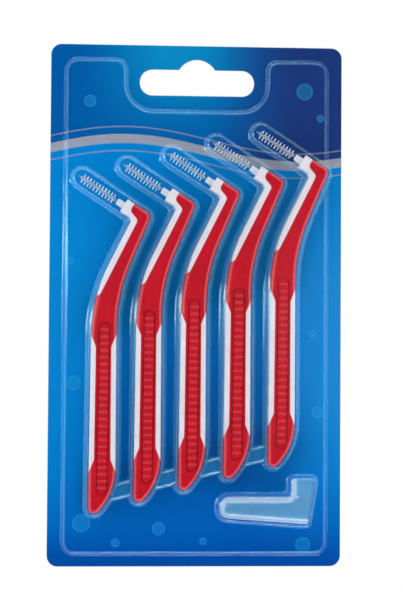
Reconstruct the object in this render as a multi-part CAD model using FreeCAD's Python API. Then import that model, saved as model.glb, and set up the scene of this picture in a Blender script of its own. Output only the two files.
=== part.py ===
"""Carded blister pack: five angled interdental brushes and a travel cap, sealed on a hanging card.

The pack lies on its back. +X runs across the card, +Y up the card to the hang slot and +Z out of its printed
face. The origin is the middle of the card's back. Lengths are in millimetres and angles in degrees.
"""
import FreeCAD
import Part

import math
import os

from FreeCAD import Placement, Rotation, Vector

# Backing card
CARD_WIDTH = 82.0
CARD_HEIGHT = 146.0
CARD_THICKNESS = 0.45
CARD_CORNER = 3.0

# Hang slot, punched through the card and the blister's seal together
SLOT_WIDTH = 32.2
SLOT_HEIGHT = 7.3
SLOT_DROP = 10.5
SLOT_END_ROUND = 3.5
SLOT_BUMP_WIDTH = 10.1
SLOT_BUMP_RISE = 2.9

# Row of brushes: the middle brush's butt from the card's middle and foot, and the step from one to the next
BRUSH_COUNT = 5
BRUSH_PITCH_X = 12.45
BRUSH_PITCH_Y = 3.25
ROW_X = -1.0
ROW_FOOT = 21.4

# Handle, from the butt up the grip and the leaning arm to the collar at the head
HANDLE_WIDTH = 7.6
HANDLE_BEND_WIDTH = 7.0
HANDLE_THICKNESS = 4.4
HANDLE_EDGE_ROUND = 1.2
BEND_HEIGHT = 60.7
INNER_BEND_DROP = 0.9
BEND_ROUND = 45.0
HEEL_HEIGHT = 5.6
HEEL_SLANT = 43.0
HEEL_ROUND = 17.0
BUTT_ROUND = 1.65
ARM_LENGTH = 24.2
ARM_LEAN_OUTER = 23.1
ARM_LEAN_INNER = 26.5
ELBOW_ROUND = 1.8
CROOK_ROUND = 1.2
HEAD_TILT = 33.0
HEAD_LENGTH = 7.9
COLLAR_WIDTH = 4.0

# Seams between the white core and the red grip, with drops that are measured down from the bend
EDGE_STRIP = 1.45
EDGE_STRIP_FOOT = 15.0
EDGE_STRIP_DROP = 14.5
EDGE_STRIP_FLARE = 3.5
ARM_STRIP = 1.7
ARM_STRIP_DROP = 0.3
COLLAR_LENGTH = 2.25
NOSE_SIDE = 0.4
CROOK_SIDE = 1.4
SEAM_ROUND = 1.2

# Core spine inside the grip, with windows that tie the grip's two faces together
GRIP_SKIN = 1.2
SPINE_THICKNESS = 1.8
WINDOW_COUNT = 3
WINDOW_LENGTH = 6.0
WINDOW_WIDTH = 1.8
WINDOW_ROUND = 0.6

# Ladder panel on both faces of the grip
PANEL_WIDTH = 3.3
PANEL_FOOT = 4.2
PANEL_DROP = 7.7
PANEL_LEAN = 0.45
PANEL_HEEL_RISE = 1.6
PANEL_ROUND = 1.4
PANEL_GROOVE = 0.4
PANEL_GROOVE_DEPTH = 0.4
RUNG_PITCH = 1.9
RUNG_GAP = 0.6
RUNG_DEPTH = 0.3

# Brush head
SLEEVE_DIAMETER = 2.0
SLEEVE_NOSE_DIAMETER = 1.8
SLEEVE_LENGTH = 2.3
SLEEVE_SHANK = 4.8
SLEEVE_ROUND = 0.25
SLEEVE_CLEARANCE = 0.02
SOCKET_WALL = 0.45
SOCKET_FLOOR = 0.8
WIRE_DIAMETER = 0.45
WIRE_LENGTH = 12.9
WIRE_ANCHOR = 5.5
BRISTLE_DIAMETER = 2.8
BRISTLE_ROOT_GAP = 0.7
BRISTLE_TIP_GAP = 0.4
FILAMENT_DIAMETER = 0.12
FILAMENT_STEP = 0.425
FILAMENT_TURN = 90.0

# Travel cap, set in from the card's right edge and foot: a flared tube for the head and a short leg for the
# arm, both open to the mouth
CAP_MARGIN = 7.8
CAP_FOOT = 16.6
CAP_TUBE_HEIGHT = 5.6
CAP_TUBE_LENGTH = 20.0
CAP_FLARE = 4.1
CAP_THICKNESS = 5.8
CAP_LEG_HEIGHT = 7.8
CAP_LEG_WIDTH = 6.2
CAP_MOUTH_LEAN = 8.9
CAP_CROOK_ROUND = 1.2
CAP_END_ROUND = 2.6
CAP_EDGE_ROUND = 2.3
CAP_WALL = 0.65
CAP_MARK_LENGTH = 2.4
CAP_MARK_WIDTH = 1.5
CAP_MARK_RISE = 0.15
CAP_MARK_DROP = 3.8
CAP_MARK_INSET = 1.4

# Blister: a flat seal, a low raised field, a pocket for each brush and for the cap, and webs between pockets
SHEET = 0.3
SEAL_MARGIN = 3.6
SEAL_MARGIN_FOOT = 2.9
FIELD_RISE = 1.5
FIELD_DRAFT = 1.0
FIELD_CORNER = 4.0
FIELD_EDGE_ROUND = 0.5
SEAL_ROUND = 0.4
NOTCH_SIDE = 3.2
NOTCH_FOOT = 3.9
NOTCH_ROUND = 7.0
NOTCH_LIP_ROUND = 3.5
POCKET_CLEARANCE = 0.5
POCKET_HEADROOM = 0.35
POCKET_DRAFT = 0.5
POCKET_TIP_GAP = 0.6
POCKET_TIP_ROUND = 1.9
POCKET_TOP_ROUND = 0.7
POCKET_FOOT_ROUND = 0.4
POCKET_FOOT_STEPS = 3
POCKET_LEAST_ROUND = 0.8
WEB_FOOT = 2.4
WEB_LENGTH = 5.2
WEB_RISE = 1.6
WEB_DRAFT = 0.5
WEB_ROUND = 1.2

# How far cutting shapes run past what they trim, and how near two heights count as one
OVERRUN = 6.0
TOLERANCE = 0.001

# Heights and places that follow from the sizes above
CARD_FACE = CARD_THICKNESS
HANDLE_MIDDLE = CARD_FACE + HANDLE_THICKNESS / 2
INNER_BEND_HEIGHT = BEND_HEIGHT - INNER_BEND_DROP
EDGE_STRIP_TOP = BEND_HEIGHT - EDGE_STRIP_DROP
ARM_STRIP_FOOT = BEND_HEIGHT - ARM_STRIP_DROP
PANEL_TOP = BEND_HEIGHT - PANEL_DROP
ROW_Y = ROW_FOOT - CARD_HEIGHT / 2
CAP_X = CARD_WIDTH / 2 - CAP_MARGIN - CAP_LEG_WIDTH - CAP_TUBE_LENGTH
CAP_Y = CAP_FOOT - CARD_HEIGHT / 2


def unit(angle):
    """Direction in the plane of the card, at an angle from +X."""
    return Vector(math.cos(math.radians(angle)), math.sin(math.radians(angle)), 0)


def meet(point, way, other, other_way):
    """Point where two lines in the plane cross."""
    gap = other - point
    share = (gap.x * other_way.y - gap.y * other_way.x) / (way.x * other_way.y - way.y * other_way.x)
    return point + way * share


def turn_at(corners, index):
    """Signed turn of an outline at one corner, positive where the corner is convex."""
    before, here, after = (corners[(index + k) % len(corners)][0] for k in (-1, 0, 1))
    inward, outward = here - before, after - here
    return math.atan2(inward.x * outward.y - inward.y * outward.x, inward.dot(outward))


def offset(corners, distance, least_round=TOLERANCE):
    """Outline moved outwards by a distance, with its rounds widened or tightened to match."""
    moved = []
    for index, (here, radius) in enumerate(corners):
        before = (here - corners[index - 1][0]).normalize()
        after = (corners[(index + 1) % len(corners)][0] - here).normalize()
        start = here + Vector(before.y, -before.x, 0) * distance
        end = here + Vector(after.y, -after.x, 0) * distance
        grown = radius + math.copysign(distance, distance * turn_at(corners, index))
        moved.append((meet(start, before, end, after), max(grown, least_round) if radius else 0.0))
    return moved


def outline(corners, height):
    """Closed wire at one height, anticlockwise through corners that are each a point and a radius."""
    lift = Vector(0, 0, height)
    arcs = []
    for index, (here, radius) in enumerate(corners):
        before = (corners[index - 1][0] - here).normalize()
        after = (corners[(index + 1) % len(corners)][0] - here).normalize()
        half = abs(turn_at(corners, index)) / 2
        reach = radius * math.tan(half)
        crown = (before + after).normalize() * (radius / math.cos(half) - radius)
        arcs.append((here + before * reach + lift, here + crown + lift, here + after * reach + lift))
    edges = []
    for index, (start, crown, end) in enumerate(arcs):
        edges.append(Part.LineSegment(arcs[index - 1][2], start).toShape())
        if corners[index][1] > 0:
            edges.append(Part.Arc(start, crown, end).toShape())
    return Part.Wire(edges)


def prism(corners, low, high):
    """Straight solid over an outline, between two heights."""
    return Part.Face(outline(corners, low)).extrude(Vector(0, 0, high - low))


def drafted(corners, low, high, draft):
    """Solid over an outline whose walls lean inwards by the draft on their way up."""
    return Part.makeLoft([outline(corners, low), outline(offset(corners, -draft), high)], True, True)


def level_edges(shape, height):
    """Edges of a shape that lie wholly at one height."""
    boxes = [(edge, edge.BoundBox) for edge in shape.Edges]
    return [e for e, b in boxes if abs(b.ZMin - height) < TOLERANCE and abs(b.ZMax - height) < TOLERANCE]


def placed(shape, place):
    """Copy of a shape, carried to a place."""
    copy = shape.copy()
    copy.translate(place)
    return copy


class Handle:
    """Plan of one handle in its own frame: butt at the origin, grip up +Y, middle plane at height zero."""

    def __init__(self):
        half = HANDLE_WIDTH / 2
        self.head_way = unit(180 - HEAD_TILT)
        self.head_side = unit(90 - HEAD_TILT)
        self.inner_way = unit(90 - ARM_LEAN_INNER)
        self.inner_side = unit(-ARM_LEAN_INNER)
        self.butt = Vector(-half, HEEL_HEIGHT - HANDLE_WIDTH / math.tan(math.radians(HEEL_SLANT)), 0)
        self.heel = Vector(half, HEEL_HEIGHT, 0)
        self.bend_right = Vector(half, BEND_HEIGHT, 0)
        self.bend_left = Vector(half - HANDLE_BEND_WIDTH, INNER_BEND_HEIGHT, 0)
        self.elbow = self.bend_right + unit(90 - ARM_LEAN_OUTER) * ARM_LENGTH
        self.collar_upper = self.elbow + self.head_way * HEAD_LENGTH
        self.collar_lower = self.collar_upper - self.head_side * COLLAR_WIDTH
        self.collar = (self.collar_upper + self.collar_lower) * 0.5
        self.crook = meet(self.bend_left, self.inner_way, self.collar_lower, self.head_way)

    def corners(self, reach=0.0, head_round=0.0):
        """Rounded outline, with the head end carried past the collar's face by a reach."""
        ahead = self.head_way * reach
        return [
            (self.butt, BUTT_ROUND),
            (self.heel, HEEL_ROUND),
            (self.bend_right, BEND_ROUND),
            (self.elbow, ELBOW_ROUND),
            (self.collar_upper + ahead, head_round),
            (self.collar_lower + ahead, head_round),
            (self.crook, CROOK_ROUND),
            (self.bend_left, BEND_ROUND),
        ]

    def at_head(self, back, side):
        """Point that lies a distance behind the collar's face and to the outer side of the head's axis."""
        return self.collar - self.head_way * back + self.head_side * side

    def left_edge(self, height):
        """X of the straight left edge at a height above the butt."""
        way = self.bend_left - self.butt
        return self.butt.x + way.x * (height - self.butt.y) / way.y

    def at_centre(self, height):
        """Point midway between the grip's edges at a height above the butt."""
        return Vector((self.left_edge(height) + HANDLE_WIDTH / 2) / 2, height, 0)

    def on_head(self, shape):
        """Shape built along +X, carried onto the head's axis so that it starts at the collar's face."""
        turned = shape.copy()
        turn = Rotation(Vector(0, 0, 1), 180 - HEAD_TILT)
        turned.Placement = Placement(self.collar, turn) * shape.Placement
        return turned


def handle_blank(handle):
    """Whole moulded handle with both faces' edges rounded, and its collar cut flat at the front."""
    half = HANDLE_THICKNESS / 2
    blank = prism(handle.corners(), -half, half)
    rim = []
    for edge in level_edges(blank, half) + level_edges(blank, -half):
        along = edge.tangentAt(edge.FirstParameter)
        at_collar = edge.distToShape(Part.Vertex(handle.collar))[0] < COLLAR_WIDTH
        if not (at_collar and abs(along.dot(handle.head_way)) < TOLERANCE):
            rim.append(edge)
    return blank.makeFillet(HANDLE_EDGE_ROUND, rim)


def edge_strip(handle, side):
    """Outline of the white strip along one edge of the grip: side is -1 on the left and 1 on the right."""
    foot, top, flare = EDGE_STRIP_FOOT, EDGE_STRIP_TOP, EDGE_STRIP_FLARE
    slope = flare / EDGE_STRIP
    points = []
    for height, rise in ((foot, -slope), (top, slope)):
        edge = handle.left_edge(height) if side < 0 else HANDLE_WIDTH / 2
        inner = Vector(edge - side * EDGE_STRIP, height, 0)
        points.append((inner, inner + Vector(side * OVERRUN, rise * OVERRUN, 0)))
    (inner_foot, outer_foot), (inner_top, outer_top) = points
    ring = [(inner_foot, SEAM_ROUND), (outer_foot, 0.0), (outer_top, 0.0), (inner_top, SEAM_ROUND)]
    return ring if side > 0 else ring[::-1]


def arm_strip(handle):
    """Outline of the white collar and of the white strip that runs from it down the arm's inner edge."""
    seam = handle.bend_left + handle.inner_side * ARM_STRIP
    level = Vector(1, 0, 0)
    foot = Vector(0, ARM_STRIP_FOOT, 0)
    end = meet(seam, handle.inner_way, foot, level)
    nose = handle.at_head(COLLAR_LENGTH, -NOSE_SIDE)
    crook = meet(seam, handle.inner_way, handle.at_head(0, -CROOK_SIDE), handle.head_way)
    outside = -COLLAR_WIDTH / 2 - OVERRUN
    return [
        (end, SEAM_ROUND),
        (crook, SEAM_ROUND),
        (nose, SEAM_ROUND),
        (handle.at_head(COLLAR_LENGTH, -outside), 0.0),
        (handle.at_head(-OVERRUN, -outside), 0.0),
        (handle.at_head(-OVERRUN, outside), 0.0),
        (foot - level * HANDLE_WIDTH, 0.0),
    ]


def spine_windows(handle):
    """Slots through the core's spine, spread along the ladder panel."""
    step = (EDGE_STRIP_TOP - EDGE_STRIP_FOOT) / WINDOW_COUNT
    windows = []
    for index in range(WINDOW_COUNT):
        centre = handle.at_centre(EDGE_STRIP_FOOT + step * (index + 0.5))
        across, along = Vector(WINDOW_WIDTH / 2, 0, 0), Vector(0, WINDOW_LENGTH / 2, 0)
        near, far = centre - along, centre + along
        ring = [near - across, near + across, far + across, far - across]
        windows.append(prism([(point, WINDOW_ROUND) for point in ring], -SPINE_THICKNESS, SPINE_THICKNESS))
    return windows


def panel(inset):
    """Outline of the ladder panel, drawn in by an inset, with its foot following the slanted heel."""
    half = PANEL_WIDTH / 2
    ring = [
        (Vector(-half, PANEL_FOOT, 0), PANEL_ROUND),
        (Vector(half, PANEL_FOOT + PANEL_HEEL_RISE, 0), PANEL_ROUND),
        (Vector(half + PANEL_LEAN, PANEL_TOP, 0), PANEL_ROUND),
        (Vector(PANEL_LEAN - half, PANEL_TOP, 0), PANEL_ROUND),
    ]
    return offset(ring, -inset)


def panel_cuts():
    """Cutters for both faces of the grip: the groove round the ladder panel and the notches of its rungs."""
    half = HANDLE_THICKNESS / 2
    inner = panel(PANEL_GROOVE)
    foot = PANEL_FOOT + PANEL_HEEL_RISE + PANEL_ROUND
    count = int((PANEL_TOP - PANEL_ROUND - foot) / RUNG_PITCH)
    cuts = []
    for side in (1, -1):
        ring = prism(panel(0), half - PANEL_GROOVE_DEPTH, half + OVERRUN)
        ladder = prism(inner, half - OVERRUN, half + 2 * OVERRUN)
        gaps = []
        for index in range(count + 1):
            root = Vector(-PANEL_WIDTH, foot + index * RUNG_PITCH, half - RUNG_DEPTH)
            sides = [root + Vector(0, way * RUNG_GAP, 2 * RUNG_DEPTH) for way in (1, -1)]
            notch = Part.Face(Part.makePolygon([root, *sides, root]))
            gaps.append(notch.extrude(Vector(2 * PANEL_WIDTH, 0, 0)))
        for cut in (ring.cut(ladder), ladder.common(Part.makeCompound(gaps))):
            cuts.append(cut if side > 0 else cut.mirror(Vector(), Vector(0, 0, 1)))
    return cuts


def handle_pieces(handle):
    """White core and red grip, which share the handle's outer form along their seams."""
    half = HANDLE_THICKNESS / 2
    blank = handle_blank(handle)
    spine = prism(offset(handle.corners(), -GRIP_SKIN), -SPINE_THICKNESS / 2, SPINE_THICKNESS / 2)
    socket_half = SLEEVE_DIAMETER / 2 + SOCKET_WALL
    socket_length = SLEEVE_SHANK + SOCKET_FLOOR
    socket = Part.makeBox(socket_length, 2 * socket_half, 2 * socket_half)
    socket = handle.on_head(placed(socket, Vector(-socket_length, -socket_half, -socket_half)))
    rings = (edge_strip(handle, -1), edge_strip(handle, 1), arm_strip(handle))
    strips = [prism(ring, -half, half) for ring in rings]
    inside = spine.cut(spine_windows(handle)).fuse([socket] + strips)
    bore = Part.makeCylinder(SLEEVE_DIAMETER / 2 + SLEEVE_CLEARANCE, SLEEVE_SHANK, Vector(), Vector(-1, 0, 0))
    core = blank.common(inside).cut(handle.on_head(bore))
    grip = blank.cut(inside).cut(panel_cuts())
    return core, grip


def filaments():
    """Filaments that stand out from the wire in opposite pairs, each pair turned from the last."""
    half, root = FILAMENT_DIAMETER / 2, WIRE_DIAMETER / 2
    filament = Part.makeBox(2 * half, 2 * half, BRISTLE_DIAMETER / 2 - root, Vector(-half, -half, root))
    first = SLEEVE_LENGTH + BRISTLE_ROOT_GAP
    last = SLEEVE_LENGTH + WIRE_LENGTH - BRISTLE_TIP_GAP
    rows = []
    for index in range(int((last - first) / FILAMENT_STEP) + 1):
        for turn in (0, 180):
            row = placed(filament, Vector(first + index * FILAMENT_STEP, 0, 0))
            row.rotate(Vector(), Vector(1, 0, 0), index * FILAMENT_TURN + turn)
            rows.append(row)
    return Part.makeCompound(rows)


def head_pieces(handle):
    """Sleeve pressed into the collar, the wire moulded into it, and the filaments that the wire grips."""
    radius, nose = SLEEVE_DIAMETER / 2, SLEEVE_NOSE_DIAMETER / 2
    shank = Part.makeCylinder(radius, SLEEVE_SHANK, Vector(-SLEEVE_SHANK, 0, 0), Vector(1, 0, 0))
    front = Part.makeCone(radius, nose, SLEEVE_LENGTH, Vector(), Vector(1, 0, 0))
    rim = [e for e in front.Edges if e.BoundBox.XMin > SLEEVE_LENGTH - TOLERANCE]
    front = front.makeFillet(SLEEVE_ROUND, rim)
    root = Vector(SLEEVE_LENGTH - WIRE_ANCHOR, 0, 0)
    wire = Part.makeCylinder(WIRE_DIAMETER / 2, WIRE_ANCHOR + WIRE_LENGTH, root, Vector(1, 0, 0))
    sleeve = shank.fuse(front).cut(wire)
    return [handle.on_head(piece) for piece in (sleeve, wire, filaments())]


def cap_corners(open_reach):
    """Plan of the cap from the closed end of its tube, with the mouth and the leg carried on by a reach."""
    low, high = -CAP_TUBE_HEIGHT / 2, CAP_TUBE_HEIGHT / 2
    leg_right = CAP_TUBE_LENGTH + CAP_LEG_WIDTH
    mouth_way = unit(90 - CAP_MOUTH_LEAN)
    floor_way = unit(-CAP_FLARE)
    mouth = Vector(leg_right + open_reach, CAP_LEG_HEIGHT, 0)
    heel = meet(mouth, mouth_way, Vector(0, low, 0), floor_way)
    lip = mouth + mouth_way * open_reach
    return [
        (Vector(0, low, 0), CAP_END_ROUND),
        (heel, 0.0),
        (lip, 0.0),
        (Vector(CAP_TUBE_LENGTH, lip.y, 0), 0.0),
        (Vector(CAP_TUBE_LENGTH, high, 0), CAP_CROOK_ROUND),
        (Vector(0, high, 0), CAP_END_ROUND),
    ]


def cap_form(inset):
    """Rounded solid of the cap's outside, or of its bore where it is drawn in by the wall."""
    half = CAP_THICKNESS / 2 - inset
    form = prism(offset(cap_corners(OVERRUN), -inset), -half, half)
    open_edge = CAP_TUBE_LENGTH + CAP_LEG_WIDTH
    rim = []
    for edge in level_edges(form, half) + level_edges(form, -half):
        box = edge.BoundBox
        at_mouth = box.XMin > open_edge
        at_leg_end = box.YMin > CAP_LEG_HEIGHT
        if not (at_mouth or at_leg_end):
            rim.append(edge)
    return form.makeFillet(CAP_EDGE_ROUND - inset, rim)


def travel_cap():
    """Clear cap lying on the card: a shell left open along its slanted mouth and at the end of its leg."""
    half = CAP_THICKNESS / 2
    trim = prism(cap_corners(0), -half, half)
    shell = cap_form(0).common(trim).cut(cap_form(CAP_WALL))
    mark = Part.Ellipse(Vector(), CAP_MARK_LENGTH / 2, CAP_MARK_WIDTH / 2).toShape()
    mark = Part.Face(Part.Wire([mark])).extrude(Vector(0, 0, CAP_MARK_RISE + CAP_WALL / 2))
    mark.rotate(Vector(), Vector(0, 0, 1), 90 - CAP_MOUTH_LEAN)
    mouth_back = CAP_MARK_DROP * math.tan(math.radians(CAP_MOUTH_LEAN)) + CAP_MARK_INSET
    mark_x = CAP_TUBE_LENGTH + CAP_LEG_WIDTH - mouth_back
    mark = placed(mark, Vector(mark_x, CAP_LEG_HEIGHT - CAP_MARK_DROP, half - CAP_WALL / 2))
    return placed(shell.fuse(mark), Vector(CAP_X, CAP_Y, CARD_FACE + half))


def card_corners():
    """Plan of the card."""
    x, y = CARD_WIDTH / 2, CARD_HEIGHT / 2
    return [(Vector(*point, 0), CARD_CORNER) for point in ((-x, -y), (x, -y), (x, y), (-x, y))]


def hang_slot():
    """Cutter for the hang slot: a round-ended bar with a bump over its middle."""
    half, height = SLOT_WIDTH / 2, SLOT_HEIGHT / 2
    ring = [(-half, -height), (half, -height), (half, height), (-half, height)]
    bar = prism([(Vector(*point, 0), SLOT_END_ROUND) for point in ring], -OVERRUN, OVERRUN)
    base = SLOT_BUMP_WIDTH / 2
    feet = Vector(base, height, -OVERRUN), Vector(-base, height, -OVERRUN)
    arch = Part.Arc(feet[0], Vector(0, height + SLOT_BUMP_RISE, -OVERRUN), feet[1]).toShape()
    bump = Part.Face(Part.Wire([arch, Part.LineSegment(feet[1], feet[0]).toShape()]))
    slot = bar.fuse(bump.extrude(Vector(0, 0, 2 * OVERRUN)))
    return placed(slot, Vector(0, CARD_HEIGHT / 2 - SLOT_DROP, 0))


def backing_card():
    """Flat card with round corners and the hang slot."""
    return prism(card_corners(), 0, CARD_THICKNESS).cut(hang_slot())


def field_corners():
    """Plan of the blister's raised field, notched at the top round the hang slot."""
    side = CARD_WIDTH / 2 - SEAL_MARGIN
    foot, top = SEAL_MARGIN_FOOT - CARD_HEIGHT / 2, CARD_HEIGHT / 2 - SEAL_MARGIN
    notch = SLOT_WIDTH / 2 + NOTCH_SIDE
    notch_foot = CARD_HEIGHT / 2 - SLOT_DROP - SLOT_HEIGHT / 2 - NOTCH_FOOT
    ring = [
        ((-side, foot), FIELD_CORNER), ((side, foot), FIELD_CORNER), ((side, top), FIELD_CORNER),
        ((notch, top), NOTCH_LIP_ROUND), ((notch, notch_foot), NOTCH_ROUND),
        ((-notch, notch_foot), NOTCH_ROUND), ((-notch, top), NOTCH_LIP_ROUND), ((-side, top), FIELD_CORNER),
    ]
    return [(Vector(*point, 0), radius) for point, radius in ring]


def brush_place(index):
    """Place of a brush's butt on the card."""
    step = index - (BRUSH_COUNT - 1) / 2
    return Vector(ROW_X + step * BRUSH_PITCH_X, ROW_Y + step * BRUSH_PITCH_Y, 0)


def pocket(corners, foot, high, gap):
    """Drafted pocket with a rounded top, and a flared foot that runs on down to the card."""
    slope = POCKET_DRAFT / (high - foot)
    sections = [(CARD_FACE, gap + POCKET_FOOT_ROUND)]
    for step in range(POCKET_FOOT_STEPS + 1):
        turn = math.radians(90 * step / POCKET_FOOT_STEPS)
        rise = POCKET_FOOT_ROUND * (1 - math.cos(turn))
        sections.append((foot + rise, gap - slope * rise + POCKET_FOOT_ROUND * (1 - math.sin(turn))))
    sections.append((high, gap - POCKET_DRAFT))
    rings = [outline(offset(corners, spread, POCKET_LEAST_ROUND), height) for height, spread in sections]
    body = Part.makeLoft(rings, True, True)
    return body.makeFillet(POCKET_TOP_ROUND, level_edges(body, high))


def blister_field(skin):
    """Low raised field, as its outside where skin is the sheet, or as its hollow where skin is nought."""
    top = CARD_FACE + FIELD_RISE + skin
    field = drafted(offset(field_corners(), skin - SHEET), CARD_FACE, top, FIELD_DRAFT)
    return field.makeFillet(FIELD_EDGE_ROUND, level_edges(field, top))


def blister_pockets(handle, skin):
    """Pockets for the brushes and the cap and the webs between them, as outsides or hollows."""
    field_top = CARD_FACE + FIELD_RISE + skin
    gap = POCKET_CLEARANCE + POCKET_DRAFT + skin
    reach = SLEEVE_LENGTH + WIRE_LENGTH + POCKET_TIP_GAP
    brush_top = CARD_FACE + HANDLE_THICKNESS + POCKET_HEADROOM + skin
    cap_top = CARD_FACE + CAP_THICKNESS + CAP_MARK_RISE + POCKET_HEADROOM + skin
    brush_pocket = pocket(handle.corners(reach, POCKET_TIP_ROUND), field_top, brush_top, gap)
    cap_ring = [(point, radius or POCKET_LEAST_ROUND) for point, radius in cap_corners(0)]
    pockets = [placed(brush_pocket, brush_place(index)) for index in range(BRUSH_COUNT)]
    pockets.append(placed(pocket(cap_ring, field_top, cap_top, gap), Vector(CAP_X, CAP_Y, 0)))
    step = Vector(BRUSH_PITCH_X, BRUSH_PITCH_Y, 0)
    low = Vector(0, WEB_FOOT, 0)
    rise = Vector(0, WEB_LENGTH, 0)
    ring = [(point, 0.0) for point in (low, low + step, low + step + rise, low + rise)]
    web_top = field_top + WEB_RISE
    web = drafted(offset(ring, skin), CARD_FACE, web_top, WEB_DRAFT)
    web = web.makeFillet(WEB_ROUND, [e for e in level_edges(web, web_top) if e.Length > WEB_LENGTH])
    return pockets + [placed(web, brush_place(index)) for index in range(BRUSH_COUNT - 1)]


def blister_shell(handle):
    """Formed clear sheet: its flat seal on the card, and the walls between its outside and its hollow."""
    seal_top = CARD_FACE + SHEET
    base = prism(card_corners(), CARD_FACE, seal_top).fuse(blister_field(SHEET)).removeSplitter()
    border = outline(card_corners(), seal_top)
    foot = [e for e in level_edges(base, seal_top) if e.distToShape(border)[0] > TOLERANCE]
    outside = base.makeFillet(SEAL_ROUND, foot).fuse(blister_pockets(handle, SHEET))
    hollow = blister_field(0).fuse(blister_pockets(handle, 0))
    return outside.cut(hollow).cut(hang_slot())


def pack_nodes():
    """Every piece of the pack by name, in its place."""
    handle = Handle()
    core, grip = handle_pieces(handle)
    sleeve, wire, bristles = head_pieces(handle)
    nodes = {"backing_card": backing_card(), "blister_shell": blister_shell(handle)}
    nodes["travel_cap"] = travel_cap()
    brush = {"core": core, "grip": grip, "sleeve": sleeve, "wire": wire, "bristles": bristles}
    for index in range(BRUSH_COUNT):
        place = brush_place(index) + Vector(0, 0, HANDLE_MIDDLE)
        for name, shape in brush.items():
            nodes[f"brush_{index + 1}_{name}"] = placed(shape, place)
    return nodes


def main():
    """Write each piece to its own file."""
    os.makedirs("parts", exist_ok=True)
    for name, shape in pack_nodes().items():
        shape.exportStep(f"parts/{name}.step")
        print(f"{name}: {len(shape.Solids)} solids, {shape.Volume:.1f} mm3, valid {shape.isValid()}")


if __name__ == "__main__":
    main()
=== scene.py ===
"""Looks of a carded blister pack: five angled interdental brushes and a clear travel cap on a printed card.

The pack lies on its back in the part's own frame: +X runs across the card, +Y up to the hang slot and +Z out
of the printed face. Blender's lengths are metres. Sizes whose name or docstring says mm are millimetres.
"""
import logging
import math
import random
from dataclasses import dataclass
from enum import Enum

import bmesh
import bpy
from mathutils import Matrix, Vector

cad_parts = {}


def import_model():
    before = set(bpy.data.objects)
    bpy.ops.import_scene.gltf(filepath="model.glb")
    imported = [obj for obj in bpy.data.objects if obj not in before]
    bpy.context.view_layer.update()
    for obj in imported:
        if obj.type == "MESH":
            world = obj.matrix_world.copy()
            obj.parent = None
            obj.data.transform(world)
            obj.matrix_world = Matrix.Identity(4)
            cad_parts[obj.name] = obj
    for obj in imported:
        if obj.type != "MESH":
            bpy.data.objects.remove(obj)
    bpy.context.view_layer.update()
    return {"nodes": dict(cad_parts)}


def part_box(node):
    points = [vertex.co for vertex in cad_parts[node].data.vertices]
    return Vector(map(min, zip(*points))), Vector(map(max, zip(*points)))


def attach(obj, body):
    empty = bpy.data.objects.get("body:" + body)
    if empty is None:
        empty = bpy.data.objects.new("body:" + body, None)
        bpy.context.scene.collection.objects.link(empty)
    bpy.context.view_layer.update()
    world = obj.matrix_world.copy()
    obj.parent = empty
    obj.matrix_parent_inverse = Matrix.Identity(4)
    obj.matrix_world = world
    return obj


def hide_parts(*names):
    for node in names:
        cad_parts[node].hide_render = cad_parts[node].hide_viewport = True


LOG = logging.getLogger("brush_pack")
MM = 0.001
HEAD_BODY = "pack"

# How near two corners count as one, and how far the card's skin is drawn in under the clear pieces
WELD_REACH = 0.0005 * MM
HAIR_GAP = 0.01 * MM

# Range in which most of Blender's noise lies
NOISE_SPAN = (0.3, 0.7)

Colour = tuple[float, float, float]
Span = tuple[float, float]
Socket = bpy.types.NodeSocket


class Slot(Enum):
    """Names of material slots for the wire and the filaments."""

    WIRE = "wire"
    FILAMENT = "filament"


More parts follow.
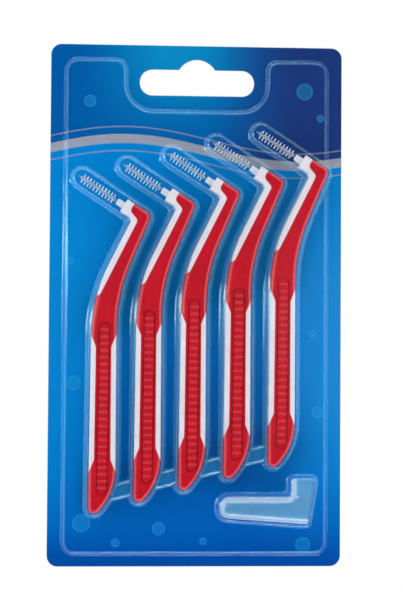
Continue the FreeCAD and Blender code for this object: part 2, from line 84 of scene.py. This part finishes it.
class NodeGraph:
    """Shader graph of one finish, put together by short calls."""

    def __init__(self, tree: bpy.types.NodeTree) -> None:
        """Empty a node tree and start from nothing.

        Args:
            tree: Node tree of a material or of the world.
        """
        self.tree = tree
        self.tree.nodes.clear()

    def add(self, kind: str, inputs: dict | None = None, **settings: object) -> bpy.types.Node:
        """Add a node, set it and feed its inputs.

        Args:
            kind: Blender's name of the node's type.
            inputs: Value or socket for each input, by the input's name or number.
            **settings: Properties of the node.

        Returns:
            The new node.
        """
        node = self.tree.nodes.new(kind)
        for name, value in settings.items():
            setattr(node, name, value)
        for key, value in (inputs or {}).items():
            if isinstance(value, Socket):
                self.tree.links.new(value, node.inputs[key])
            else:
                node.inputs[key].default_value = value
        return node

    def maths(self, operation: str, *values: Socket | float, clamp: bool = False) -> Socket:
        """Work out one number from others.

        Args:
            operation: Blender's name of the operation.
            *values: Numbers or sockets that it works on.
            clamp: Whether the result is kept between nought and one.

        Returns:
            Socket of the result.
        """
        inputs = dict(enumerate(values))
        return self.add("ShaderNodeMath", inputs, operation=operation, use_clamp=clamp).outputs[0]

    def place_mm(self) -> tuple[Socket, Socket, Socket]:
        """Give the sockets of x, y and z on the piece, in millimetres."""
        spot = self.add("ShaderNodeTexCoord").outputs["Object"]
        scaled = self.add("ShaderNodeVectorMath", {0: spot, "Scale": 1 / MM}, operation="SCALE").outputs[0]
        parts = self.add("ShaderNodeSeparateXYZ", {0: scaled}).outputs
        return parts[0], parts[1], parts[2]

    def facing(self, axis: int, normal: str = "Normal") -> Socket:
        """Tell how squarely the surface faces along an axis, either way.

        Args:
            axis: Number of the axis.
            normal: Blender's name of the smooth or the true normal.

        Returns:
            Socket of a number from nought to one.
        """
        parts = self.add("ShaderNodeSeparateXYZ", {0: self.add("ShaderNodeNewGeometry").outputs[normal]})
        return self.maths("ABSOLUTE", parts.outputs[axis])

    def soft_step(self, value: Socket, span: Span, result: Span = (0.0, 1.0)) -> Socket:
        """Ease from one number to another while a value goes through a span.

        Args:
            value: Socket of the value.
            span: Values at which the easing starts and is done.
            result: Numbers that it eases from and to.

        Returns:
            Socket of the eased number.
        """
        limits = {"From Min": span[0], "From Max": span[1], "To Min": result[0], "To Max": result[1]}
        node = self.add("ShaderNodeMapRange", {"Value": value, **limits}, interpolation_type="SMOOTHSTEP")
        return node.outputs["Result"]

    def blend(self, share: Socket | float, under: Socket | Colour, over: Socket | Colour) -> Socket:
        """Lay one colour over another.

        Args:
            share: How much of the upper colour shows.
            under: Lower colour.
            over: Upper colour.

        Returns:
            Socket of the blended colour.
        """
        under, over = (c if isinstance(c, Socket) else (*c, 1.0) for c in (under, over))
        return self.add("ShaderNodeMix", {0: share, 6: under, 7: over}, data_type="RGBA").outputs[2]

    def noise(self, grain_mm: float, detail: float = 2.0) -> Socket:
        """Give soft random numbers over the piece.

        Args:
            grain_mm: Size of the grain.
            detail: How many finer layers it has.

        Returns:
            Socket of a number about one half.
        """
        spot = self.add("ShaderNodeTexCoord").outputs["Object"]
        inputs = {"Vector": spot, "Scale": 1 / (grain_mm * MM), "Detail": detail}
        return self.add("ShaderNodeTexNoise", inputs).outputs[0]

    def bump(self, height: Socket, depth_mm: float) -> Socket:
        """Raise the surface by a height of up to a depth, and give the socket of its normal."""
        return self.add("ShaderNodeBump", {"Height": height, "Distance": depth_mm * MM}).outputs["Normal"]

    def show(self, shader: bpy.types.Node) -> None:
        """Send a material's shader to its output."""
        self.add("ShaderNodeOutputMaterial", {"Surface": shader.outputs[0]})


def new_material(name: str) -> tuple[bpy.types.Material, NodeGraph]:
    """Start a material and its graph.

    Args:
        name: Name of the finish.

    Returns:
        The material and its empty graph.
    """
    material = bpy.data.materials.new(name)
    material.use_nodes = True
    return material, NodeGraph(material.node_tree)


def ease_off(piece: bpy.types.Object) -> None:
    """Draw a piece's skin in by a hair, so that a clear piece that lies on it has air under it.

    Args:
        piece: CAD node, whose mesh stays as it is under the modifiers.
    """
    weld = piece.modifiers.new("weld", "WELD")
    weld.merge_threshold = WELD_REACH
    draw_in = piece.modifiers.new("hair_gap", "DISPLACE")
    draw_in.direction = "NORMAL"
    draw_in.mid_level = 0.0
    draw_in.strength = -HAIR_GAP


def dress(piece: bpy.types.Object, material: bpy.types.Material) -> None:
    """Give every surface of a piece one finish.

    Args:
        piece: CAD node that keeps its shape.
        material: Finish that it gets.
    """
    if not piece.material_slots:
        piece.data.materials.append(material)
    for slot in piece.material_slots:
        slot.material = material
    LOG.info("%s dressed in %s", piece.name, material.name)


@dataclass(frozen=True)
class MouldedPlastic:
    """Opaque moulded plastic with a fine grain, a little unevenness of colour and an optional painted
    highlight.
    """

    name: str
    colour: Colour
    shade: Colour
    roughness: float
    shine: float
    grain_mm: float
    depth_mm: float
    # Colour of a painted highlight on faces that slant towards the head or the butt and on rounded edges; None
    # for none.
    painted_highlight: Colour | None = None
    grain_detail: float = 3.0
    gloss_spread: float = 0.04
    patch_mm: float = 6.0
    patch_span: Span = (0.35, 0.75)
    rung_span: Span = (0.35, 0.7)
    rung_highlight_share: float = 0.25
    edge_span: Span = (0.98, 0.86)
    wall_span: Span = (0.2, 0.5)
    edge_highlight_share: float = 0.38

    def material(self) -> bpy.types.Material:
        """Make the finish."""
        material, graph = new_material(self.name)
        patches = graph.soft_step(graph.noise(self.patch_mm), self.patch_span)
        grain = graph.noise(self.grain_mm, self.grain_detail)
        colour = graph.blend(patches, self.colour, self.shade)
        # Painted highlight: a lighter colour where lamp light would catch the slanted rung faces and the
        # rounded edges.
        if self.painted_highlight:
            colour = graph.blend(self.painted_highlight_share(graph), colour, self.painted_highlight)
        gloss = (self.roughness - self.gloss_spread, self.roughness + self.gloss_spread)
        inputs = {
            "Base Color": colour,
            "Roughness": graph.soft_step(grain, NOISE_SPAN, gloss),
            "Specular IOR Level": self.shine,
            "Normal": graph.bump(grain, self.depth_mm),
        }
        graph.show(graph.add("ShaderNodeBsdfPrincipled", inputs))
        return material

    def painted_highlight_share(self, graph: NodeGraph) -> Socket:
        """Find where the painted highlight goes: faces that slant towards the head or the butt, and the
        rounded edges.

        Args:
            graph: Graph of the finish.

        Returns:
            Socket of the share of painted highlight colour.
        """
        rungs = graph.soft_step(graph.facing(1, "True Normal"), self.rung_span, (0.0, self.rung_highlight_share))
        level = graph.facing(2)
        rounded = graph.soft_step(level, self.edge_span)
        sloped = graph.soft_step(level, self.wall_span, (0.0, self.edge_highlight_share))
        return graph.maths("MAXIMUM", rungs, graph.maths("MULTIPLY", rounded, sloped))


@dataclass(frozen=True)
class Bubble:
    """Round motif of the print, in mm from the card's middle."""

    x: float
    y: float
    radius: float


@dataclass(frozen=True)
class PrintedBoard:
    """Coated board with a blue print: a wave of two blues, a silver ribbon and a few bubbles.

    Its places, widths and spans are mm from the card's middle or back.
    """

    name: str = "printed_board"
    face_span: Span = (0.41, 0.43)
    azure: Colour = (0.0, 0.238, 0.64)
    royal: Colour = (0.0, 0.118, 0.475)
    foot: Colour = (0.0, 0.064, 0.345)
    teal: Colour = (0.003, 0.26, 0.55)
    deep: Colour = (0.0, 0.105, 0.38)
    navy: Colour = (0.012, 0.04, 0.195)
    silver: Colour = (0.36, 0.38, 0.44)
    foam: Colour = (0.03, 0.42, 0.8)
    board: Colour = (0.74, 0.72, 0.68)
    board_shade: Colour = (0.629, 0.612, 0.578)
    board_roughness: float = 0.85
    print_roughness: float = 0.18
    shine: float = 0.3
    fibre_mm: float = 0.6
    fibre_detail: float = 4.0
    fibre_depth_mm: float = 0.002
    wave_height: float = 43.0
    wave_swell: float = 3.6
    wave_length: float = 96.0
    wave_crest: float = -20.0
    wave_blur: float = 0.1
    rise_span: Span = (-66.0, 22.0)
    side_span: Span = (12.0, 44.0)
    side_share: float = 0.7
    side_rise_span: Span = (-73.0, -45.0)
    foot_span: Span = (-76.0, -60.0)
    glow_x: float = -6.0
    glow_span: Span = (30.0, 0.0)
    glow_rise_span: Span = (40.0, 72.0)
    navy_span: Span = (2.0, 30.0)
    ribbon_width: float = 2.6
    flake_mm: float = 0.25
    flake_detail: float = 1.0
    flake_share: Span = (0.8, 1.0)
    line_gap: float = 3.4
    line_width: float = 0.35
    line_share: float = 0.55
    bubble_blur: float = 0.2
    bubble_share: float = 0.2
    rim_inset: float = 0.25
    rim_width: float = 0.28
    rim_share: float = 0.25
    bubbles: tuple[Bubble, ...] = (
        Bubble(-31.5, -61.0, 2.6), Bubble(-22.0, -66.5, 1.3), Bubble(-10.0, -62.5, 1.9),
        Bubble(2.5, -66.0, 1.1), Bubble(30.5, -67.0, 2.2), Bubble(34.5, -30.0, 1.7),
        Bubble(-34.0, -22.0, 2.1), Bubble(-35.5, 12.0, 1.4), Bubble(33.0, -8.0, 1.2),
        Bubble(-30.0, 57.0, 1.8), Bubble(30.5, 60.5, 2.4), Bubble(35.0, 53.0, 1.1),
    )

    def material(self) -> bpy.types.Material:
        """Make the finish."""
        material, graph = new_material(self.name)
        x, y, z = graph.place_mm()
        above = graph.maths("SUBTRACT", y, self.wave(graph, x))
        over = graph.soft_step(above, (-self.wave_blur, self.wave_blur))
        colour = graph.blend(over, self.lower(graph, x, y), self.upper(graph, x, y))
        colour = self.ribbon(graph, above, colour)
        for bubble in self.bubbles:
            colour = self.bubble(graph, bubble, x, y, colour)
        fibres = graph.noise(self.fibre_mm, self.fibre_detail)
        board = graph.blend(fibres, self.board, self.board_shade)
        on_face = graph.soft_step(z, self.face_span)
        inputs = {
            "Base Color": graph.blend(on_face, board, colour),
            "Roughness": graph.soft_step(on_face, (0.0, 1.0), (self.board_roughness, self.print_roughness)),
            "Specular IOR Level": self.shine,
            "Normal": graph.bump(fibres, self.fibre_depth_mm),
        }
        graph.show(graph.add("ShaderNodeBsdfPrincipled", inputs))
        return material

    def wave(self, graph: NodeGraph, x: Socket) -> Socket:
        """Give the height of the border between the print's two blues.

        Args:
            graph: Graph of the finish.
            x: Socket of the place across the card.

        Returns:
            Socket of the height.
        """
        across = graph.maths("SUBTRACT", x, self.wave_crest)
        turn = graph.maths("MULTIPLY", across, 2 * math.pi / self.wave_length)
        swell = graph.maths("MULTIPLY", graph.maths("COSINE", turn), self.wave_swell)
        return graph.maths("ADD", swell, self.wave_height)

    def lower(self, graph: NodeGraph, x: Socket, y: Socket) -> Socket:
        """Colour the field under the wave: azure high up and at the sides, royal blue low, deeper at the foot.

        Args:
            graph: Graph of the finish.
            x: Socket of the place across the card.
            y: Socket of the place up the card.

        Returns:
            Socket of the colour.
        """
        rise = graph.soft_step(y, self.rise_span)
        side = graph.soft_step(graph.maths("ABSOLUTE", x), self.side_span, (0.0, self.side_share))
        lifted = graph.maths("MULTIPLY", side, graph.soft_step(y, self.side_rise_span))
        field = graph.blend(graph.maths("ADD", rise, lifted, clamp=True), self.royal, self.azure)
        return graph.blend(graph.soft_step(y, self.foot_span), self.foot, field)

    def upper(self, graph: NodeGraph, x: Socket, y: Socket) -> Socket:
        """Colour the field over the wave: deep blue, lit in the middle and turning navy to the right.

        Args:
            graph: Graph of the finish.
            x: Socket of the place across the card.
            y: Socket of the place up the card.

        Returns:
            Socket of the colour.
        """
        off = graph.maths("ABSOLUTE", graph.maths("SUBTRACT", x, self.glow_x))
        glow = graph.soft_step(off, self.glow_span)
        lit = graph.maths("MULTIPLY", glow, graph.soft_step(y, self.glow_rise_span))
        field = graph.blend(lit, self.deep, self.teal)
        return graph.blend(graph.soft_step(x, self.navy_span), field, self.navy)

    def ribbon(self, graph: NodeGraph, above: Socket, colour: Socket) -> Socket:
        """Lay the silver ribbon and its two fine lines along the wave.

        Args:
            graph: Graph of the finish.
            above: Socket of the height above the wave.
            colour: Socket of the print so far.

        Returns:
            Socket of the colour.
        """
        half = self.ribbon_width / 2
        flakes = graph.soft_step(graph.noise(self.flake_mm, self.flake_detail), NOISE_SPAN, self.flake_share)
        border = (half + self.wave_blur, half - self.wave_blur)
        band = graph.soft_step(graph.maths("ABSOLUTE", above), border)
        colour = graph.blend(graph.maths("MULTIPLY", band, flakes), colour, self.silver)
        for side in (-1, 1):
            off = graph.maths("ABSOLUTE", graph.maths("ADD", above, side * self.line_gap))
            line = graph.soft_step(off, (self.line_width, 0.0), (0.0, self.line_share))
            colour = graph.blend(line, colour, self.silver)
        return colour

    def bubble(self, graph: NodeGraph, bubble: Bubble, x: Socket, y: Socket, colour: Socket) -> Socket:
        """Lay one bubble on the print: a faint fill inside a brighter rim.

        Args:
            graph: Graph of the finish.
            bubble: Place and size of the bubble.
            x: Socket of the place across the card.
            y: Socket of the place up the card.
            colour: Socket of the print so far.

        Returns:
            Socket of the colour.
        """
        across = graph.maths("POWER", graph.maths("SUBTRACT", x, bubble.x), 2.0)
        along = graph.maths("POWER", graph.maths("SUBTRACT", y, bubble.y), 2.0)
        reach = graph.maths("SQRT", graph.maths("ADD", across, along))
        border = (bubble.radius, bubble.radius - self.bubble_blur)
        fill = graph.soft_step(reach, border, (0.0, self.bubble_share))
        off = graph.maths("ABSOLUTE", graph.maths("SUBTRACT", reach, bubble.radius - self.rim_inset))
        rim = graph.soft_step(off, (self.rim_width, 0.0), (0.0, self.rim_share))
        return graph.blend(graph.maths("ADD", fill, rim), colour, self.foam)


@dataclass(frozen=True)
class ClearPlastic:
    """Clear plastic: it shows what is behind it, shines, and is hazy where its walls are steep."""

    name: str
    tint: Colour
    glint: Colour
    haze: Colour
    edge: Colour
    flat_haze: float
    wall_haze: float
    shine: float
    edge_shine: float
    roughness: float
    ripple_mm: float
    ripple_depth_mm: float
    low_haze: float = 0.0
    low_rise_mm: Span = (2.3, 2.6)
    low_fall_mm: Span = (4.8, 4.0)
    steep_span: Span = (0.95, 0.25)
    grazing_blend: float = 0.5
    grazing_power: float = 5.0

    def material(self) -> bpy.types.Material:
        """Make the finish."""
        material, graph = new_material(self.name)
        steep = graph.soft_step(graph.facing(2), self.steep_span)
        share = graph.maths("MULTIPLY_ADD", steep, self.wall_haze - self.flat_haze, self.flat_haze)
        if self.low_haze:
            share = graph.maths("ADD", share, self.low_band(graph))
        clear = graph.add("ShaderNodeBsdfTransparent", {"Color": (*self.tint, 1.0)})
        milk = graph.add("ShaderNodeBsdfDiffuse", {"Color": graph.blend(steep, self.haze, self.edge)})
        body = graph.add("ShaderNodeMixShader", {0: share, 1: clear.outputs[0], 2: milk.outputs[0]})
        grazing = graph.add("ShaderNodeLayerWeight", {"Blend": self.grazing_blend}).outputs["Facing"]
        mirror = graph.maths("POWER", grazing, self.grazing_power)
        mirror = graph.maths("MULTIPLY_ADD", mirror, self.edge_shine - self.shine, self.shine)
        polish = {
            "Color": (*self.glint, 1.0),
            "Roughness": self.roughness,
            "Normal": graph.bump(graph.noise(self.ripple_mm), self.ripple_depth_mm),
        }
        gloss = graph.add("ShaderNodeBsdfAnisotropic", polish)
        graph.show(graph.add("ShaderNodeMixShader", {0: mirror, 1: body.outputs[0], 2: gloss.outputs[0]}))
        return material

    def low_band(self, graph: NodeGraph) -> Socket:
        """Find the height of the webs and of the pockets' feet, where the drawn sheet has turned milky.

        Args:
            graph: Graph of the finish.

        Returns:
            Socket of the share of haze that it adds.
        """
        _, _, z = graph.place_mm()
        risen = graph.soft_step(z, self.low_rise_mm, (0.0, self.low_haze))
        return graph.maths("MULTIPLY", risen, graph.soft_step(z, self.low_fall_mm))


@dataclass(frozen=True)
class DrawnSteel:
    """Bare steel wire with fine drawing marks."""

    name: str = "drawn_steel"
    colour: Colour = (0.42, 0.38, 0.36)
    shade: Colour = (0.28, 0.25, 0.24)
    metal: float = 0.9
    mark_mm: float = 0.08
    mark_detail: float = 3.0
    roughness: Span = (0.3, 0.45)

    def material(self) -> bpy.types.Material:
        """Make the finish."""
        material, graph = new_material(self.name)
        marks = graph.noise(self.mark_mm, self.mark_detail)
        inputs = {
            "Base Color": graph.blend(marks, self.colour, self.shade),
            "Metallic": self.metal,
            "Roughness": graph.soft_step(marks, NOISE_SPAN, self.roughness),
        }
        graph.show(graph.add("ShaderNodeBsdfPrincipled", inputs))
        return material


@dataclass(frozen=True)
class NylonFilament:
    """Pale nylon that lets a little light through."""

    name: str = "nylon_filament"
    colour: Colour = (0.94, 0.96, 0.98)
    shade: Colour = (0.86, 0.92, 0.97)
    grain_mm: float = 0.5
    roughness: float = 0.4
    glow_share: float = 0.6
    glow_depth: float = 0.3 * MM

    def material(self) -> bpy.types.Material:
        """Make the finish."""
        material, graph = new_material(self.name)
        inputs = {
            "Base Color": graph.blend(graph.noise(self.grain_mm), self.colour, self.shade),
            "Roughness": self.roughness,
            "Subsurface Weight": self.glow_share,
            "Subsurface Scale": self.glow_depth,
        }
        graph.show(graph.add("ShaderNodeBsdfPrincipled", inputs))
        return material


WHITE_CORE = MouldedPlastic(
    "white_core", colour=(0.78, 0.75, 0.78), shade=(0.74, 0.71, 0.75), roughness=0.25, shine=0.4,
    grain_mm=1.5, depth_mm=0.003,
)
# The grip's lighter red is a painted highlight on its slanted rung faces and rounded edges.
SOFT_GRIP = MouldedPlastic(
    "soft_grip", colour=(0.57, 0.002, 0.017), shade=(0.5, 0.002, 0.014), roughness=0.3, shine=0.5,
    grain_mm=0.3, depth_mm=0.004, painted_highlight=(0.88, 0.13, 0.13),
)
PALE_SLEEVE = MouldedPlastic(
    "pale_sleeve", colour=(0.78, 0.81, 0.84), shade=(0.72, 0.77, 0.81), roughness=0.25, shine=0.5,
    grain_mm=0.8, depth_mm=0.003,
)
BLISTER_FILM = ClearPlastic(
    "blister_film", tint=(0.995, 0.998, 1.0), glint=(0.6, 0.92, 1.0), haze=(0.12, 0.62, 1.0),
    edge=(0.3, 0.75, 1.0), flat_haze=0.0, wall_haze=0.02, shine=0.075, edge_shine=0.12, roughness=0.1,
    ripple_mm=9.0, ripple_depth_mm=0.002, low_haze=0.06,
)
CAP_PLASTIC = ClearPlastic(
    "cap_plastic", tint=(1.0, 1.0, 1.0), glint=(1.0, 1.0, 1.0), haze=(0.3, 0.74, 1.0),
    edge=(0.95, 0.98, 1.0), flat_haze=0.14, wall_haze=0.5, shine=0.05, edge_shine=0.6, roughness=0.08,
    ripple_mm=3.0, ripple_depth_mm=0.005,
)


@dataclass
class BackingCard:
    """Printed card with the hang slot."""

    node: str = "backing_card"

    def build(self, nodes: dict[str, bpy.types.Object]) -> None:
        """Dress the card.

        Args:
            nodes: CAD nodes by name.
        """
        dress(nodes[self.node], PrintedBoard().material())
        ease_off(nodes[self.node])


@dataclass
class ClearPieces:
    """Formed blister over the card, and the travel cap in its pocket."""

    blister: str = "blister_shell"
    cap: str = "travel_cap"

    def build(self, nodes: dict[str, bpy.types.Object]) -> None:
        """Dress both clear pieces.

        Args:
            nodes: CAD nodes by name.
        """
        for name, finish in ((self.blister, BLISTER_FILM), (self.cap, CAP_PLASTIC)):
            dress(nodes[name], finish.material())


@dataclass(frozen=True)
class BrushFinishes:
    """Finishes that all the brushes share."""

    core: bpy.types.Material
    grip: bpy.types.Material
    sleeve: bpy.types.Material
    wire: bpy.types.Material
    filament: bpy.types.Material


@dataclass
class Brush:
    """One brush: its moulded CAD pieces, and a head of twisted wire and filaments on the CAD wire's line."""

    number: int
    finishes: BrushFinishes
    head_tilt: float = math.radians(33.0)
    strand_share: float = 0.48
    strand_sides: int = 8
    twist: float = 2.0 * MM
    steps_per_turn: int = 16
    bend_steps: int = 6
    filament_radius: float = 0.032 * MM
    filament_sides: int = 5
    filament_lean: float = 0.06
    filament_trim: float = 0.08
    bunch_step: float = 0.5 * MM
    bunch_turn: float = math.radians(90.0)
    bunch_spread: float = 0.13 * MM
    bunch_fan: float = 0.4
    bunch_filaments: int = 9

    def node(self, piece: str) -> str:
        """Name of one of the brush's CAD nodes."""
        return f"brush_{self.number}_{piece}"

    def build(self, nodes: dict[str, bpy.types.Object]) -> None:
        """Dress the moulded pieces and make the head.

        Args:
            nodes: CAD nodes by name.
        """
        dress(nodes[self.node("core")], self.finishes.core)
        dress(nodes[self.node("grip")], self.finishes.grip)
        dress(nodes[self.node("sleeve")], self.finishes.sleeve)
        self.build_wire()
        self.build_bristles(nodes[self.node("bristles")])

    def axis(self) -> Vector:
        """Direction from the sleeve to the wire's tip."""
        return Vector((-math.cos(self.head_tilt), math.sin(self.head_tilt), 0.0))

    def wire_line(self) -> tuple[Vector, Vector, float]:
        """Read the root, the tip and the radius of the CAD wire from its box."""
        low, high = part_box(self.node("wire"))
        radius = (high.z - low.z) / 2
        way = self.axis()
        inset_x, inset_y = radius * way.y, radius * -way.x
        middle = (low.z + high.z) / 2
        root = Vector((high.x - inset_x, low.y + inset_y, middle))
        tip = Vector((low.x + inset_x, high.y - inset_y, middle))
        return root, tip, radius

    def head_frame(self, root: Vector) -> Matrix:
        """Matrix that carries a shape built up +Z from nought onto the head's line."""
        return Matrix.Translation(root) @ self.axis().to_track_quat("Z", "Y").to_matrix().to_4x4()

    def show_head(self, piece: str, shape: bmesh.types.BMesh, finish: bpy.types.Material) -> None:
        """Turn a finished shape into the piece that stands for one of the head's CAD nodes.

        Args:
            piece: Name of the CAD piece that it stands for.
            shape: Shape in its place, which this uses up.
            finish: Material of the piece.
        """
        name = f"{self.node(piece)}_detailed"
        mesh = bpy.data.meshes.new(name)
        shape.to_mesh(mesh)
        shape.free()
        mesh.shade_smooth()
        mesh.materials.append(finish)
        made = bpy.data.objects.new(name, mesh)
        bpy.context.scene.collection.objects.link(made)
        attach(made, HEAD_BODY)
        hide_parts(self.node(piece))
        LOG.info("%s made with %d faces", name, len(mesh.polygons))

    def build_wire(self) -> None:
        """Twist one folded wire: a strand up to the tip, round a bend and back down on the other side."""
        root, tip, radius = self.wire_line()
        strand = radius * self.strand_share
        swing = radius - strand
        height = (tip - root).length - radius
        turn = 2 * math.pi * height / self.twist
        steps = round(height / self.twist * self.steps_per_turn)
        climb = Vector((0.0, 0.0, height / steps))
        shape = bmesh.new()
        start = Matrix.Translation((swing, 0.0, 0.0))
        bmesh.ops.create_circle(shape, segments=self.strand_sides, radius=strand, matrix=start)
        end = shape.edges[:]
        over = Vector((math.sin(turn), -math.cos(turn), 0.0))
        top = Vector((0.0, 0.0, height))
        upright = {"axis": (0.0, 0.0, 1.0), "cent": (0.0, 0.0, 0.0), "steps": steps}
        runs = (
            {**upright, "angle": turn, "dvec": climb},
            {"axis": over, "cent": top, "angle": math.pi, "steps": self.bend_steps},
            {**upright, "angle": -turn, "dvec": -climb},
        )
        for run in runs:
            spun = bmesh.ops.spin(shape, geom=end, **run)["geom_last"]
            end = [part for part in spun if isinstance(part, bmesh.types.BMEdge)]
        bmesh.ops.holes_fill(shape, edges=[edge for edge in shape.edges if edge.is_boundary], sides=0)
        bmesh.ops.recalc_face_normals(shape, faces=shape.faces)
        bmesh.ops.transform(shape, matrix=self.head_frame(root), verts=shape.verts)
        self.show_head("wire", shape, self.finishes.wire)

    def build_bristles(self, solid: bpy.types.Object) -> None:
        """Set bunches of filaments along the wire, each turned on from the last and a little uneven.

        Args:
            solid: CAD bristles, which give where the filaments start, end and reach to.
        """
        root, _, _ = self.wire_line()
        way = self.axis()
        places = [(corner.co - root).dot(way) for corner in solid.data.vertices]
        margin = self.filament_radius + self.bunch_spread
        first, last = min(places) + margin, max(places) - margin
        low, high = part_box(self.node("bristles"))
        reach = high.z - low.z
        chance = random.Random(self.number)
        shape = bmesh.new()
        for index in range(self.bunch_filaments * (int((last - first) / self.bunch_step) + 1)):
            bunch = index // self.bunch_filaments
            height = first + bunch * self.bunch_step + chance.uniform(-1, 1) * self.bunch_spread
            turn = Matrix.Rotation(bunch * self.bunch_turn + chance.uniform(-1, 1) * self.bunch_fan, 4, "Z")
            lean = Matrix.Rotation(math.pi / 2 + chance.uniform(-1, 1) * self.filament_lean, 4, "X")
            bmesh.ops.create_cone(
                shape, cap_ends=True, segments=self.filament_sides, radius1=self.filament_radius,
                radius2=self.filament_radius, depth=reach * (1 - chance.random() * self.filament_trim),
                matrix=Matrix.Translation((0.0, 0.0, height)) @ turn @ lean,
            )
        bmesh.ops.transform(shape, matrix=self.head_frame(root), verts=shape.verts)
        self.show_head("bristles", shape, self.finishes.filament)


@dataclass(frozen=True)
class Softbox:
    """Rectangular studio lamp that faces the pack, and that shiny surfaces mirror or not."""

    name: str
    place: tuple[float, float, float]
    width: float
    length: float
    watts: float
    mirrored: bool

    def build(self) -> None:
        """Hang the lamp."""
        lamp = bpy.data.lights.new(self.name, "AREA")
        lamp.shape = "RECTANGLE"
        lamp.size, lamp.size_y, lamp.energy = self.width, self.length, self.watts
        made = bpy.data.objects.new(self.name, lamp)
        made.location = self.place
        made.visible_glossy = self.mirrored
        made.rotation_euler = Vector(self.place).to_track_quat("Z", "Y").to_euler()
        bpy.context.scene.collection.objects.link(made)


@dataclass
class Studio:
    """White floor, soft lamps and sky, and the camera in front of the card."""

    floor_half: float = 2.0
    floor_drop: float = 0.2 * MM
    floor_white: float = 0.8
    floor_paint: Colour = (0.9, 0.9, 0.9)
    floor_glow: Colour = (1.0, 1.0, 1.0)
    sky_zenith: Colour = (0.0, 0.0, 0.0)
    sky_horizon: Colour = (1.0, 1.0, 1.0)
    sky_span: Span = (0.35, 0.8)
    sky_strength: float = 2.0
    clear_bounces: int = 24
    softboxes: tuple[Softbox, ...] = (
        Softbox("softbox_left", (-0.42, 0.06, 0.4), 0.3, 0.9, 0.35, mirrored=False),
        Softbox("softbox_right", (0.42, 0.0, 0.4), 0.3, 0.9, 0.4, mirrored=False),
        Softbox("strip_left", (-0.42, 0.05, 0.4), 0.05, 0.8, 0.9, mirrored=True),
        Softbox("strip_right", (0.42, 0.0, 0.4), 0.05, 0.8, 1.05, mirrored=True),
        Softbox("softbox_top", (0.0, 0.5, 0.35), 0.6, 0.12, 0.75, mirrored=True),
        Softbox("softbox_foot", (0.1, -0.55, 0.3), 0.6, 0.12, 1.5, mirrored=True),
    )
    lens_mm: float = 97.38
    film_mm: float = 36.0
    near_clip: float = 10.0 * MM
    distance: float = 450.0 * MM
    target: tuple[float, float, float] = (1.659 * MM, 2.515 * MM, 0.0)
    lean_x: float = math.radians(-3.342)
    lean_y: float = math.radians(-1.915)
    roll: float = math.radians(0.367)

    def build(self) -> None:
        """Set up the floor, the sky, the lamps and the camera."""
        self.build_floor()
        self.build_sky()
        for softbox in self.softboxes:
            softbox.build()
        self.build_camera()
        scene = bpy.context.scene
        scene.view_settings.view_transform = "Standard"
        scene.cycles.transparent_max_bounces = self.clear_bounces

    def build_floor(self) -> None:
        """Lay a white floor that keeps a faint shadow."""
        shape = bmesh.new()
        ground = Matrix.Translation((0.0, 0.0, -self.floor_drop))
        bmesh.ops.create_grid(shape, x_segments=1, y_segments=1, size=self.floor_half, matrix=ground)
        mesh = bpy.data.meshes.new("floor")
        shape.to_mesh(mesh)
        shape.free()
        floor = bpy.data.objects.new("floor", mesh)
        bpy.context.scene.collection.objects.link(floor)
        material, graph = new_material("floor_white")
        path = graph.add("ShaderNodeLightPath").outputs
        seen = graph.maths("ADD", path["Is Camera Ray"], path["Is Glossy Ray"], clamp=True)
        seen = graph.maths("ADD", seen, path["Is Transmission Ray"], clamp=True)
        paint = graph.add("ShaderNodeBsdfDiffuse", {"Color": (*self.floor_paint, 1.0)})
        glow = graph.add("ShaderNodeEmission", {"Color": (*self.floor_glow, 1.0)})
        share = graph.maths("MULTIPLY", seen, self.floor_white)
        graph.show(graph.add("ShaderNodeMixShader", {0: share, 1: paint.outputs[0], 2: glow.outputs[0]}))
        mesh.materials.append(material)

    def build_sky(self) -> None:
        """Surround the pack with a sky that is white at the horizon and dark overhead."""
        world = bpy.data.worlds.new("studio_sky")
        world.use_nodes = True
        bpy.context.scene.world = world
        graph = NodeGraph(world.node_tree)
        way = graph.add("ShaderNodeTexCoord").outputs["Generated"]
        up = graph.add("ShaderNodeSeparateXYZ", {0: way}).outputs[2]
        colour = graph.blend(graph.soft_step(up, self.sky_span), self.sky_horizon, self.sky_zenith)
        sky = graph.add("ShaderNodeBackground", {"Color": colour, "Strength": self.sky_strength})
        graph.add("ShaderNodeOutputWorld", {"Surface": sky.outputs[0]})

    def build_camera(self) -> None:
        """Stand the camera in front of the card, leaning a little as the photograph's did."""
        back = Vector((math.sin(self.lean_x), math.sin(self.lean_y), 1.0)).normalized()
        right = Vector((0.0, 1.0, 0.0)).cross(back).normalized()
        level = Matrix((right, back.cross(right), back)).transposed().to_4x4()
        lens = bpy.data.cameras.new("camera")
        lens.sensor_fit = "VERTICAL"
        lens.sensor_height = self.film_mm
        lens.lens = self.lens_mm
        lens.clip_start = self.near_clip
        camera = bpy.data.objects.new("camera", lens)
        stand = Matrix.Translation(Vector(self.target) + back * self.distance)
        camera.matrix_world = stand @ level @ Matrix.Rotation(self.roll, 4, "Z")
        bpy.context.scene.collection.objects.link(camera)
        bpy.context.scene.camera = camera


def main() -> None:
    """Dress the pack, make the brush heads and set up the studio."""
    logging.basicConfig(level=logging.INFO, format="%(name)s: %(message)s")
    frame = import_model()
    nodes = frame["nodes"]
    BackingCard().build(nodes)
    ClearPieces().build(nodes)
    finishes = BrushFinishes(
        core=WHITE_CORE.material(), grip=SOFT_GRIP.material(), sleeve=PALE_SLEEVE.material(),
        wire=DrawnSteel().material(), filament=NylonFilament().material(),
    )
    count = sum(name.endswith("_core") for name in nodes)
    for number in range(1, count + 1):
        Brush(number, finishes).build(nodes)
    Studio().build()


if __name__ == "__main__":
    main()
